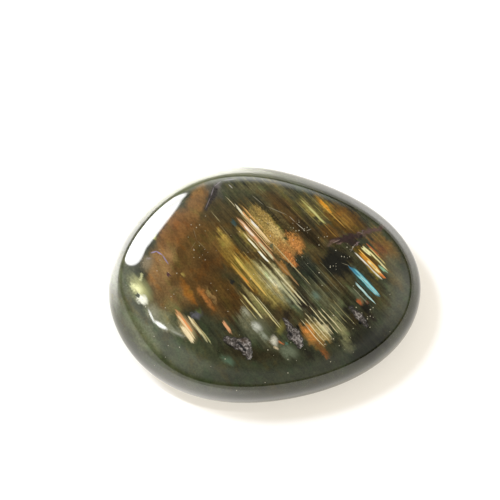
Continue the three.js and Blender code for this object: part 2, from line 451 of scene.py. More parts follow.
# Sheets of lamellae: name, place of the upper left end, length, half width, colour, strength and full share.
# Sheets and streaks run along the lamellae, so they have no angle of their own.
SHEETS = (
    ("olive band", (-4.9, 7.1), 14.7, 1.32, (132, 106, 46), 0.9, 0.4),
    ("gold cloud", (-4.6, 7.9), 5, 1.17, (166, 138, 66), 0.88, 0.2),
    ("gold cloud side", (-1.3, 8), 5.9, 0.88, (140, 120, 66), 0.85, 0.2),
    ("gold cloud foot", (-4, 4.9), 5.3, 1.03, (112, 86, 32), 0.8, 0.2),
    ("gold upper bed", (-1.8, 8.6), 6.7, 0.81, (124, 104, 54), 0.8, 0.4),
    ("gold band", (-2.5, 6), 12.3, 0.73, (148, 114, 44), 0.82, 0.4),
    ("gold band core", (-1.6, 3.6), 7, 0.5, (182, 146, 70), 0.9, 0.3),
    ("green gold band", (-0.8, 3.9), 11.1, 1.91, (132, 118, 62), 0.9, 0.5),
    ("pale green band", (1, 3.2), 9.1, 1.32, (172, 166, 122), 0.9, 0.3),
    ("pale green heart", (3.2, 1.1), 3.8, 0.73, (206, 204, 168), 0.85, 0.1),
    ("pale seam", (3, 3.3), 7.3, 0.73, (160, 152, 108), 0.8, 0.3),
    ("brown gold foot", (-0.5, -0.5), 7.6, 0.88, (112, 102, 64), 0.8, 0.4),
    ("grey teal band", (4.5, -0.2), 6.5, 1.03, (92, 98, 76), 0.8, 0.3),
    ("grey green seam", (-1.3, -3.7), 5.3, 1.32, (112, 110, 84), 0.85, 0.3),
    ("gold sheet edge", (2.5, 10.7), 5.3, 0.44, (122, 112, 58), 0.85, 0.4),
    ("brown gap", (2.5, 11), 8.8, 0.29, (66, 52, 26), 0.85, 0.5),
    ("olive sheet", (6.9, 13.7), 7.6, 1.32, (100, 90, 46), 0.92, 0.5),
    ("olive sheet core", (7.7, 12.4), 5, 0.73, (142, 130, 70), 0.9, 0.3),
    ("olive sheet side", (4.5, 13.9), 6.5, 0.5, (84, 74, 36), 0.8, 0.4),
    ("orange gleam bed", (9.6, 13.3), 6.2, 0.88, (132, 108, 40), 0.9, 0.4),
    ("orange gleam", (10.4, 12.4), 3.8, 0.35, (226, 152, 40), 0.95, 0.4),
    ("roof glow", (12.4, 11.4), 6.5, 1.03, (124, 90, 32), 0.85, 0.3),
    ("far bed", (15.7, 5.7), 6.2, 1.25, (92, 70, 20), 0.92, 0.6),
    ("far bed end", (17.7, 2.7), 3.5, 0.73, (140, 116, 44), 0.85, 0.4),
    ("far rust", (18.3, 6.3), 4.1, 0.59, (108, 66, 34), 0.6, 0.3),
    ("cyan bed", (15.1, 2.4), 6.5, 0.79, (40, 78, 80), 0.88, 0.4),
    ("under cyan", (14.8, -0.2), 6.7, 0.65, (84, 88, 66), 0.8, 0.4),
    ("low orange", (8, -5.8), 5.9, 1.32, (132, 98, 50), 0.92, 0.5),
    ("low orange core", (8.2, -6.1), 3.8, 0.94, (184, 118, 56), 0.9, 0.2),
    ("low orange tail", (10.1, -8.7), 4.1, 0.56, (108, 74, 38), 0.85, 0.4),
    ("low rust tip", (11, -10.2), 2.1, 0.35, (132, 80, 38), 0.8, 0.2),
    ("low gold", (9.2, -5.3), 5.3, 0.88, (168, 146, 92), 0.88, 0.4),
    ("low cream", (10.4, -5.5), 3.5, 0.73, (212, 200, 156), 0.85, 0.1),
    ("low olive", (11.8, -4.6), 5.9, 0.88, (132, 130, 90), 0.85, 0.4),
    ("low green", (7.4, -2.2), 5.3, 0.73, (84, 98, 80), 0.7, 0.2),
    ("low gap", (7.9, -2.5), 4.1, 1.1, (46, 42, 30), 0.9, 0.4),
    ("slope pale", (8.9, -1.7), 3.8, 0.59, (88, 90, 68), 0.5, 0.2),
    ("trail gap", (6.9, -0.8), 5.9, 1.03, (46, 42, 28), 0.9, 0.4),
)

# Grainy sheets that lie over the fine lines, in the form of the sheets
GRAINY_SHEETS = (
    ("gold sheet", (-1.1, 11.7), 10.3, 1.69, (156, 132, 72), 0.86, 0.3),
    ("gold sheet side", (0.7, 11.8), 7.3, 0.73, (150, 124, 66), 0.9, 0.5),
    ("gold sheet foot", (2.5, 8.3), 7, 1.91, (162, 128, 70), 0.88, 0.35),
    ("gold sheet glow", (2.5, 9.5), 5.9, 0.88, (190, 166, 104), 0.8, 0.2),
    ("gold sheet end", (4.5, 6), 4.4, 1.32, (158, 112, 60), 0.9, 0.45),
    ("orange tip", (5.8, 7.4), 4.8, 1.32, (172, 118, 60), 0.92, 0.45),
    ("orange tip glow", (6.1, 6.6), 3.8, 0.59, (190, 130, 70), 0.8, 0.2),
    ("orange tip lip", (5.4, 4.6), 3.5, 0.73, (176, 114, 60), 0.88, 0.35),
    ("orange seam", (4.4, 3.3), 3.8, 0.67, (158, 112, 56), 0.85, 0.4),
)

# Where the grain is, in the same plane, and its half sizes across and along
GRAINY_MIDDLE = (4.6, 6.6)
GRAINY_HALF_SIZES = (2.9, 6.6)

# Crisp spots, in the form of the patches
SPOTS = (
    ("grey haze", (1.6, -6.6), (3.52, 2.49), -45, (104, 106, 82), 0.8, 0.1),
    ("black hollow heart", (13.6, 2.6), (3.08, 2.2), -62, (33, 32, 26), 0.88, 0.2),
    ("white wisp upper", (0.1, -4.4), (1.32, 0.65), -50, (160, 160, 138), 0.8, 0.1),
    ("white wisp middle", (1.7, -6.6), (1.32, 0.88), -45, (196, 198, 184), 0.92, 0.1),
    ("white wisp low", (2.8, -8), (1.32, 0.59), -50, (150, 156, 136), 0.8, 0.1),
    ("white wisp foot", (4.2, -8.7), (1.03, 0.88), -60, (208, 204, 184), 0.9, 0.1),
    ("cream dot", (4.5, -9.7), (0.5, 0.44), 0, (216, 196, 160), 0.85, 0.2),
    ("green gold nook", (5.2, -6.8), (0.88, 1.47), -20, (122, 116, 58), 0.75, 0.1),
    ("teal cloud", (-2.5, -11.5), (1.61, 0.82), -30, (88, 112, 90), 0.8, 0.1),
    ("teal low cloud", (6.4, -10.3), (2.05, 1.32), -25, (108, 116, 94), 0.88, 0.2),
    ("teal glint", (10.4, -2.1), (1.17, 0.65), -45, (98, 118, 102), 0.8, 0.1),
    ("violet cloud", (-7.2, -5), (1.32, 0.88), 20, (98, 97, 104), 0.8, 0.1),
    ("green fleck", (-10, -4.1), (0.88, 0.53), -30, (88, 104, 50), 0.75, 0.1),
    ("green fleck right", (-6.8, -4.4), (0.73, 0.44), -30, (86, 96, 46), 0.75, 0.1),
    ("pale flash haze", (-15.4, -1.2), (3.23, 1.76), -55, (190, 190, 130), 0.92, 0.1),
    # Painted reflection: a soft glow along the lamp strip's highlight and its tail
    ("painted strip reflection glow head", (-13.4, -4.7), (1.76, 1.32), -60, (142, 140, 116), 0.75, 0.05),
    ("painted strip reflection glow", (-10.6, -7.1), (2.93, 0.88), -25, (140, 142, 118), 0.75, 0.05),
    ("flash glow", (-8.5, -6.9), (2.79, 1.32), -59, (184, 166, 120), 0.95, 0.2),
    ("tawny lap", (-10.7, -3.7), (2.35, 1.32), -40, (120, 112, 70), 0.8, 0.1),
    ("lilac blotch", (-14.2, 3.3), (0.59, 0.29), 30, (168, 160, 184), 0.7, 0.1),
    # Painted reflection: a tawny glow at the edge of the window's highlight
    ("painted window glow, tawny", (-14.4, 2.7), (1.32, 1.76), -20, (146, 132, 104), 0.8, 0.1),
    ("pale flash", (-15.9, -1.1), (1.39, 0.82), -38, (246, 246, 186), 0.97, 0.2),
    ("pale flash head", (-15.3, 0.5), (0.88, 0.38), 60, (204, 204, 150), 0.9, 0.1),
    ("pale flash foot", (-15.1, -2.7), (1.23, 0.82), -40, (255, 255, 236), 1.0, 0.35),
    ("dark hole", (-15.8, -2.2), (0.47, 0.29), -30, (52, 58, 40), 0.95, 0.5),
    ("purple stain", (-11.2, 0.9), (0.59, 0.32), -45, (70, 42, 58), 0.9, 0.3),
    ("yellow green fleck", (-13.4, 6.4), (0.65, 0.44), 30, (150, 150, 84), 0.8, 0.2),
    ("gold fleck", (-9.1, 1), (0.44, 0.65), 10, (158, 138, 72), 0.85, 0.1),
    ("teal stain", (-1.7, 8.5), (0.79, 0.38), -50, (58, 80, 78), 0.85, 0.3),
    ("teal stain low", (3.9, 5.1), (0.73, 0.29), -60, (84, 92, 70), 0.8, 0.3),
    ("dark dot left", (-1.9, -0.2), (0.53, 0.28), -30, (34, 36, 34), 0.9, 0.3),
    ("dark dot middle", (-0.8, -0.6), (0.44, 0.29), -50, (36, 44, 30), 0.9, 0.3),
    ("dark dot right", (0.8, -1.1), (0.56, 0.34), -40, (32, 38, 40), 0.92, 0.3),
    ("dark green dot", (6, 6.3), (0.67, 0.34), -40, (54, 62, 34), 0.9, 0.3),
    ("dark notch a", (3.3, 8.3), (0.65, 0.21), -40, (92, 78, 40), 0.8, 0.3),
    ("dark notch b", (5.2, 8), (0.79, 0.23), -44, (70, 62, 36), 0.85, 0.3),
    ("small orange fleck", (5.2, -9), (0.56, 0.35), 0, (196, 118, 70), 0.9, 0.3),
    ("blue green fleck", (6.1, -9.1), (0.38, 0.26), -60, (74, 116, 100), 0.9, 0.3),
    ("orange spot", (16.7, -2.9), (0.85, 0.5), -50, (172, 96, 54), 0.95, 0.3),
    ("orange spot side", (17.9, -3.3), (0.44, 0.29), -50, (150, 86, 56), 0.85, 0.2),
    ("dark by pit", (17.7, -3.9), (1.32, 0.88), -50, (26, 24, 18), 0.9, 0.4),
    ("dark under pit", (18.6, -5.2), (1.47, 0.59), -50, (36, 28, 20), 0.85, 0.3),
    ("black by pit", (14.8, -4.1), (1.32, 0.73), -60, (30, 28, 20), 0.85, 0.3),
    ("black crease", (8, -3.4), (2.05, 0.47), -10, (40, 32, 22), 0.85, 0.3),
    ("black crease end", (6.1, -4.9), (1.17, 0.73), -60, (34, 28, 20), 0.85, 0.3),
    ("plum line", (14.8, 6.3), (3.23, 0.73), 14, (56, 40, 38), 0.95, 0.45),
    ("plum line end", (18.9, 7.5), (2.93, 0.56), 20, (92, 70, 64), 0.88, 0.3),
    ("plum haze", (12.9, 5.7), (1.32, 0.35), 26, (112, 90, 80), 0.75, 0.1),
    ("plum core", (15.8, 5.7), (1.17, 0.73), -20, (44, 32, 30), 0.92, 0.35),
    ("plum crumb left", (13.8, 5.5), (0.65, 0.22), 20, (124, 100, 90), 0.8, 0.2),
    ("plum crumb", (16.5, 5.5), (0.53, 0.23), 40, (132, 112, 112), 0.8, 0.2),
    ("plum knot", (17.1, 6.6), (0.53, 0.35), 40, (34, 26, 26), 0.9, 0.3),
    ("plum glint", (17, 7.2), (0.73, 0.19), 20, (122, 104, 106), 0.8, 0.1),
    ("fracture dark", (-4.7, 12.9), (2.2, 0.65), 68, (50, 44, 40), 0.92, 0.5),
    ("fracture foot", (-5.7, 10.8), (0.88, 0.5), 60, (58, 50, 44), 0.85, 0.3),
    ("fracture haze", (-4.1, 14.2), (1.17, 0.73), 40, (112, 106, 104), 0.8, 0.1),
)

# Bright and dark streaks: name, place of the upper left end, length, half width, colour and strength
STREAKS = (
    ("first blaze", (-1.5, 11.2), 7.6, 0.15, (238, 208, 150), 0.93),
    ("first blaze head", (-1.5, 11.2), 1.9, 0.16, (255, 248, 214), 0.97),
    ("first blaze middle", (-0.3, 10.1), 1.9, 0.12, (236, 170, 108), 0.9),
    ("first blaze heart", (0.9, 8.8), 2.2, 0.19, (255, 252, 238), 0.97),
    ("first blaze foot", (1.7, 7.9), 3.2, 0.12, (250, 218, 164), 0.92),
    ("first blaze trail", (3.8, 5.8), 8.8, 0.09, (200, 186, 136), 0.75),
    ("first blaze point", (-3, 12.6), 2.5, 0.06, (214, 200, 156), 0.8),
    ("first gap right", (-1.1, 11.3), 6.2, 0.08, (86, 62, 32), 0.85),
    ("first blaze twin", (-0.6, 11.2), 5, 0.12, (230, 174, 104), 0.85),
    ("first gap left", (-1.5, 10.7), 6.7, 0.07, (82, 62, 34), 0.85),
    ("inner line", (-0.8, 10.1), 6.2, 0.07, (234, 204, 148), 0.85),
    ("inner gap", (-1.1, 9.9), 6.7, 0.07, (70, 54, 28), 0.85),
    ("second blaze bed", (-1.3, 9.5), 8.8, 0.34, (214, 158, 108), 0.88),
    ("second blaze left", (-1.1, 8.8), 5.6, 0.07, (204, 150, 100), 0.8),
    ("second blaze side", (0, 8.8), 6.7, 0.09, (226, 178, 126), 0.85),
    ("second blaze heart", (-0.1, 8.1), 2.2, 0.22, (255, 250, 236), 0.97),
    ("second blaze line", (-1.1, 9.3), 5, 0.12, (252, 222, 184), 0.92),
    ("second blaze peach", (1.1, 6.7), 1.5, 0.19, (242, 180, 128), 0.9),
    ("second blaze green", (1.7, 6), 3.8, 0.21, (214, 216, 172), 0.85),
    ("second gap", (1, 7.4), 6.2, 0.06, (96, 76, 42), 0.8),
    ("second blaze trail", (3.8, 3.9), 6.7, 0.15, (176, 140, 94), 0.7),
    ("third blaze", (-0.6, 7.4), 7, 0.14, (236, 218, 158), 0.92),
    ("third blaze upper heart", (0.1, 6.6), 2.5, 0.14, (255, 252, 222), 0.97),
    ("third blaze lower heart", (1.8, 4.6), 2.5, 0.16, (255, 255, 236), 1.0),
    ("third blaze trail", (3.5, 2.7), 8.8, 0.12, (228, 216, 170), 0.88),
    ("third blaze twin", (0, 7.3), 5, 0.07, (222, 190, 138), 0.8),
    ("third gap", (-0.6, 7), 7.6, 0.07, (64, 56, 28), 0.8),
    ("green sheet line a", (1.9, 3.3), 8.5, 0.15, (214, 206, 148), 0.6),
    ("green sheet line b", (1.1, 2.7), 7.6, 0.09, (190, 176, 108), 0.6),
    ("green sheet line c", (3, 1.9), 8.2, 0.22, (198, 196, 154), 0.6),
    ("green sheet line d", (0.1, 1.9), 7.3, 0.12, (186, 166, 92), 0.6),
    ("green sheet line e", (3.9, 2.3), 7.6, 0.09, (216, 208, 164), 0.6),
    ("green sheet line f", (5.1, 0.2), 5, 0.15, (222, 216, 170), 0.6),
    ("gold core line", (-1.6, 3.5), 7.6, 0.19, (226, 188, 96), 0.9),
    ("gold core side", (-2.2, 2.7), 5.9, 0.15, (206, 160, 74), 0.85),
    ("gold orange line", (-0.6, 1), 1.9, 0.19, (226, 146, 62), 0.85),
    ("lower line a", (-0.3, -2), 5, 0.14, (236, 226, 164), 0.92),
    ("lower line b", (0.6, -1.4), 7.3, 0.11, (222, 208, 146), 0.85),
    ("lower line c", (-0.8, -2.5), 4.1, 0.07, (200, 186, 124), 0.75),
    ("lower line d", (-1.1, -1.2), 5, 0.08, (186, 164, 92), 0.75),
    ("lower line e", (1.6, -2.2), 5.9, 0.07, (204, 196, 150), 0.75),
    ("left hair", (-4.9, 10.1), 2.3, 0.06, (176, 164, 118), 0.75),
    ("far left hair", (-3.8, 8.3), 2.9, 0.05, (150, 134, 92), 0.7),
    ("cloud line", (-1.9, 4.5), 4.4, 0.07, (188, 160, 84), 0.75),
    ("orange flash bed", (-10.3, -4.1), 4.3, 0.47, (212, 158, 104), 0.88),
    ("orange flash core", (-9.4, -5.3), 2.8, 0.25, (240, 158, 98), 0.9),
    ("cream flash foot", (-9.3, -6.5), 3.2, 0.38, (255, 236, 190), 0.95),
    ("cream flash left", (-10.1, -4.6), 4.7, 0.16, (250, 226, 176), 0.88),
    ("cream flash right", (-8.4, -5), 3.5, 0.22, (250, 230, 176), 0.9),
    ("cream flash side", (-7.9, -5.2), 3.8, 0.1, (236, 214, 150), 0.85),
    ("cream flash tail", (-7.4, -6.2), 3.5, 0.18, (214, 206, 156), 0.85),
    ("cream flash hair", (-6.3, -7.2), 2.3, 0.12, (180, 178, 126), 0.8),
    ("flash gap", (-9, -4.9), 5.3, 0.07, (92, 54, 28), 0.85),
    ("flash gap right", (-7.7, -5.5), 4.4, 0.07, (110, 84, 44), 0.8),
    ("peach streak", (-3.3, -5.8), 2.2, 0.28, (234, 172, 122), 0.9),
    ("far white line", (15.8, 4.5), 6.2, 0.13, (240, 236, 220), 0.95),
    ("far amber line", (16.5, 4.5), 5.3, 0.35, (214, 146, 50), 0.92),
    ("far amber core", (17.7, 3.3), 3.5, 0.18, (255, 236, 170), 0.95),
    ("far amber gap", (17.1, 4.5), 4.4, 0.06, (92, 60, 20), 0.85),
    ("far amber hair", (16.5, 4.8), 4.7, 0.09, (250, 196, 96), 0.92),
    ("far amber end", (19.6, 1.3), 1.3, 0.21, (222, 128, 60), 0.9),
    ("far cream head", (17, 5.2), 1.8, 0.29, (246, 242, 180), 0.95),
    ("far cream line", (17.6, 4.9), 4.7, 0.13, (246, 236, 170), 0.95),
    ("far cream side", (18.3, 4.8), 3.5, 0.1, (226, 206, 124), 0.85),
    ("far green end", (19.6, 2.4), 1.6, 0.23, (150, 196, 160), 0.85),
    ("far red line", (17.8, 5.5), 3.2, 0.13, (196, 104, 52), 0.85),
    ("cyan flash", (15.4, 2.2), 6.2, 0.35, (96, 176, 190), 0.92),
    ("cyan heart", (16.2, 1.3), 4.7, 0.12, (204, 242, 240), 0.97),
    ("cyan left line", (15.7, 1.6), 5, 0.1, (140, 210, 214), 0.92),
    ("cyan right line", (15.8, 2), 5.6, 0.13, (150, 222, 226), 0.95),
    ("cyan line gap", (15.8, 1.7), 5.3, 0.05, (52, 112, 120), 0.8),
    ("cyan head", (15.2, 2.3), 2.1, 0.23, (66, 128, 156), 0.85),
    ("cyan gap", (16.1, 0.4), 3.8, 0.09, (40, 84, 84), 0.8),
    ("pale cyan line", (15.9, 0), 4.3, 0.15, (196, 232, 228), 0.93),
    ("pale cyan hair", (15.4, -0.6), 3.8, 0.06, (150, 150, 124), 0.75),
    ("olive line a", (8.2, 12), 5.6, 0.13, (186, 180, 104), 0.85),
    ("olive line b", (9.2, 11), 3.8, 0.19, (204, 200, 128), 0.88),
    ("olive line c", (9.9, 11.4), 3.8, 0.07, (160, 146, 78), 0.75),
    ("olive line d", (6.9, 12.3), 5.9, 0.07, (150, 140, 80), 0.75),
    ("olive line e", (6.4, 11.2), 5, 0.06, (128, 114, 66), 0.7),
    ("gleam line", (11, 11.5), 5.3, 0.09, (206, 160, 74), 0.8),
    ("roof line", (12.6, 10.5), 5, 0.06, (160, 128, 66), 0.7),
    ("roof line low", (11.3, 8.6), 3.2, 0.07, (170, 130, 60), 0.75),
)

# Rows of streaks side by side: name, the first one's upper left end, how many, how far apart across the
# lamellae, length, half width, colour and strength
STREAK_ROWS = (
    ("low right row", (8, -5.5), 7, 0.53, 5.3, 0.08, (234, 220, 170), 0.85),
    ("low right fine row", (11.8, -3.7), 3, 0.65, 4.7, 0.06, (176, 166, 116), 0.6),
    ("slope row", (6.6, -0.2), 7, 0.85, 6.5, 0.05, (130, 132, 104), 0.55),
    ("gold row", (-0.8, 4.9), 5, -0.56, 5.9, 0.07, (176, 146, 74), 0.7),
)

# Fine straight lines: both ends, half width, colour and strength
HAIRLINES = (
    ((-13.9, 4.1), (-12.9, 4.4), 0.13, (160, 150, 186), 0.8),
    ((-13.1, 4.4), (-12.1, 3.8), 0.13, (158, 148, 184), 0.85),
    ((-12.2, 3.9), (-11.2, 2.4), 0.12, (146, 138, 170), 0.8),
    ((8.3, 12.4), (10.7, 9.8), 0.06, (140, 132, 92), 0.6),
    ((9.2, 13), (11.3, 10.8), 0.05, (150, 142, 100), 0.6),
    ((2.9, 11.1), (6.4, 9.6), 0.07, (150, 142, 118), 0.7),
    ((6.4, 9.6), (7.4, 8.6), 0.07, (170, 160, 138), 0.75),
    ((7.4, 8.6), (8.9, 7.3), 0.07, (180, 172, 150), 0.8),
    ((0.9, 12.7), (2.8, 11.1), 0.07, (146, 140, 118), 0.7),
    ((8.9, 7.3), (9.8, 7.7), 0.07, (160, 152, 130), 0.7),
    ((-2.5, 14.3), (-1.8, 13.6), 0.09, (190, 184, 172), 0.8),
    ((-1.1, 15.1), (-3.5, 14.8), 0.09, (150, 146, 148), 0.8),
    ((-3.5, 14.8), (-4.6, 13.9), 0.09, (142, 136, 140), 0.8),
    ((-4.6, 13.9), (-5.1, 12.4), 0.09, (136, 128, 132), 0.8),
    ((-5.1, 12.4), (-5.9, 10.5), 0.09, (120, 110, 112), 0.75),
    ((-0.6, 14.9), (2.5, 14.8), 0.1, (40, 40, 34), 0.8),
    ((2.5, 14.8), (5.8, 14.3), 0.09, (44, 44, 38), 0.75),
    ((15.4, 4.2), (16.2, 5.5), 0.06, (170, 160, 150), 0.7),
    ((14, 6.1), (12.7, 5.5), 0.07, (150, 130, 120), 0.75),
    ((14, 2.7), (15.4, 2.2), 0.05, (150, 144, 120), 0.6),
    ((-7.7, 8), (-7.1, 6), 0.06, (132, 118, 90), 0.6),
    ((-7.1, 6), (-8.1, 4.5), 0.05, (132, 118, 90), 0.55),
    ((-7.1, 6), (-5.7, 4.6), 0.05, (140, 126, 98), 0.6),
)

# Painted shade in the pits: black in their deepest holes and creases and along a lip, with brown stone beside
# them, in the form of the patches
PIT_SHADE_AND_BROWN = (
    ("elbow pit crease, painted shade", (-0.6, -9.4), (1.1, 0.25), -48, (10, 8, 6), 0.95, 0.4),
    ("elbow pit hole, painted shade", (-0.1, -10), (0.38, 0.32), 0, (6, 5, 4), 0.95, 0.4),
    ("elbow pit lip, painted shade", (-2.2, -9.4), (1.32, 0.21), -30, (24, 20, 14), 0.85, 0.3),
    ("elbow pit brown left", (-2.4, -8.8), (0.47, 0.59), -30, (70, 58, 46), 0.7, 0.2),
    ("elbow pit brown", (-0.2, -8.7), (0.79, 0.5), -15, (82, 64, 50), 0.8, 0.2),
    ("widening pit hole, painted shade", (6.6, -7.7), (0.47, 0.32), -60, (8, 7, 5), 0.95, 0.4),
    ("widening pit notch, painted shade", (7.7, -6.7), (0.5, 0.23), -60, (14, 12, 9), 0.9, 0.4),
    ("small pit hole, painted shade", (16.8, -6.1), (0.38, 0.29), -50, (8, 7, 5), 0.95, 0.4),
)

# Where pale specks crowd together: name, place, half sizes and angle
SPECKLED = (
    ("by the hollow", (-6.2, 4.2), (2.6, 1.6), -10),
    ("brown mass", (-7.2, 7.1), (1.8, 2.3), 0),
    ("black hollow", (14, 3.6), (2.8, 2.9), 0),
    ("by the plum line", (11.3, 6.3), (1.9, 1.3), 0),
    ("furrow", (8, 8), (3.2, 1.2), -44),
    ("upper furrow", (3.9, 11.4), (2.3, 1.3), -40),
    ("across the gold sheet", (3, 8), (3.8, 1.5), -50),
    ("top", (-3, 13.3), (2.1, 1.3), -30),
    ("low flank", (17.1, -6.1), (2.1, 2.1), 0),
)

# In a row the streaks are uneven: how far they are shifted, the share by which their lengths differ,
# and the step from streak to streak in each of those two waves
ROW_SHIFT, ROW_SHIFT_STEP = 0.5, 2.4
ROW_STRETCH, ROW_STRETCH_STEP = 0.2, 3.7

# How much longer than its ends a hairline is painted, and the share of its width at full strength
HAIRLINE_STRETCH = 1.1
HAIRLINE_FULL_SHARE = 0.5

# Noise drawn out along the lamellae: scale across and along, where it starts, detail and roughness
MIDDLE_LINES = (1.9, 0.1, (7, 3), 3.0)
FINE_LINES = (6.0, 0.22, (3, 9), 3.0)
MOTTLE = (0.9, 0.45, (3, 3), 4.0, 0.65)
TINT = (0.6, 0.3, (9, 4), 3.0, 0.6)
GRAINS = (5.0, 3.2, (0, 0), 3.0, 0.75)
STREAK_WAVES = (0.7, 0.35, (5, 1))
STREAK_ENDS = (5.0, 0.05, (4, 4))
STREAK_BREAKS = (10.0, 0.5, (1, 5))
BELOW_BROWN = (0.4, 0.07, (12, 2), 3.0)
BELOW_TEAL = (0.5, 0.09, (2, 14), 3.0)

# Noise that is the same in all directions: scale, detail and roughness
CLOUDS = (0.34, 4.0, 0.6)
GRIT = (3.2, 3.0, 0.7)
RIPPLES = (1.1, 4.0, 0.6)
CRUMBS = (3.4, 4.0, 0.75)
CLUMPS = (1.1, 2.0)

# The lined middle of the stone, in from the left, the foot and the right: where the lines begin, where they
# are full, and what is left of them outside
LINED_LEFT = (-8.0, 0.0, 0.1)
LINED_FOOT = (-12.0, -7.0, 0.15)
LINED_RIGHT = (23.0, 18.0, 0.15)

# The direction of the lamellae in the middle of the stone
LAMELLA_RUN = (0.66, -0.75)

# How widely the edges of the marks wander: the ripples themselves, and then what the lines, the clouds and
# the ripples do to the patches, the sheets, the spots and the streaks
RIPPLE_WIDTH = 3.0
PATCH_DRAWN, PATCH_WANDER, PATCH_RIPPLE = 5.0, 3.0, 0.5
SHEET_DRAWN, SHEET_DRAWN_FINE, SHEET_RIPPLE = 4.0, 2.0, 0.35
SPOT_DRAWN = 1.6
STREAK_WAVER, STREAK_RAGGED = 0.24, 2.4

# Heights above the stone's middle, towards the camera, between which looks give way to each other
SPECKS_FROM = (4.5, 6.5)
EDGE_BELOW = (3.0, 0.0)
UNDERSIDE_BELOW = (-2.5, -6.0)

# Pale specks: cells to a millimetre, the least radius and how much more it can be, how rare they are and
# how much less so where they crowd together, and their strength
SPECK_CELLS = 2.4
SPECK_RADIUS, SPECK_RADIUS_CHANGE = 0.07, 0.14
SPECK_RARITY, SPECK_CROWDING = 0.985, -0.2
SPECK_STRENGTH = 0.8

# Colours that aren't in the lists of marks
GREEN_TINT = (0.9, 1.06, 0.96, 1)
BROWN_TINT = (1.16, 0.98, 0.78, 1)
SPECK_COLOUR = (206, 198, 172)
# The edge's two grey greens: the lighter left one is partly painted reflection, the darker right one partly
# painted shade
EDGE_COLOURS_WITH_PAINTED_LIGHT = ((120, 124, 92), (42, 44, 30))
BELOW_COLOURS = ((60, 60, 44), (112, 86, 44), (64, 98, 94))
PIT_RIM_COLOUR = (34, 27, 18)
CRUMB_COLOURS = ((58, 47, 38), (178, 170, 162))
CLUMP_COLOUR = (46, 37, 28)
BLACK = (0, 0, 0, 1)
WHITE = (1, 1, 1, 1)

# The polish: how much light it bends, how rough it is, and how much rougher the pits are
STONE_IOR = 1.56
POLISH_ROUGHNESS = (0.04, 0.08)
PIT_ROUGHNESS = 0.6


def camera_place(g, middle):
    """Where a point is in the plane that the camera faces, in millimetres from the stone's middle.
    The plane is fixed in the stone, so the marks stay where they are from any side."""
    place = g.add("ShaderNodeTexCoord", {}, {}, "Object")
    lean = math.radians(CAMERA_ELEVATION - 90)
    back = Matrix.Rotation(lean, 3, "X") @ Vector(middle)
    return g.scaled(place, (1 / MM,) * 3, (lean, 0, 0), tuple(-back))


def lamella_place(u, v):
    """A place in the camera's plane as millimetres across and along the lamellae."""
    angle = math.atan2(FAN_V - v, u - FAN_U)
    return (angle - FAN_ANGLE) * FAN_RADIUS, math.hypot(u - FAN_U, v - FAN_V) - FAN_RADIUS


def lamella_nodes(g, u, v):
    """The same, as nodes."""
    fan_u = g.math("SUBTRACT", u, FAN_U)
    fan_v = g.math("SUBTRACT", FAN_V, v)
    angle = g.math("ARCTAN2", fan_v, fan_u)
    across = g.math("MULTIPLY", g.math("SUBTRACT", angle, FAN_ANGLE), FAN_RADIUS)
    squares = g.math("MULTIPLY_ADD", fan_u, fan_u, g.math("MULTIPLY", fan_v, fan_v))
    along = g.math("SUBTRACT", g.math("SQRT", squares), FAN_RADIUS)
    return across, along


def all_streaks():
    """Every streak: its name, its middle across and along, half length, half width, colour and strength."""
    for name, end, length, half_width, seen, strength in STREAKS:
        across, along = lamella_place(*end)
        yield name, (across, along + length / 2), length / 2, half_width, seen, strength
    for name, end, count, spacing, length, half_width, seen, strength in STREAK_ROWS:
        across, along = lamella_place(*end)
        for i in range(count):
            shift = ROW_SHIFT * math.sin(ROW_SHIFT_STEP * i + 1)
            half_length = length / 2 * (1 + ROW_STRETCH * math.sin(ROW_STRETCH_STEP * i))
            middle = (across - i * spacing, along + shift + length / 2)
            yield name, middle, half_length, half_width, seen, strength


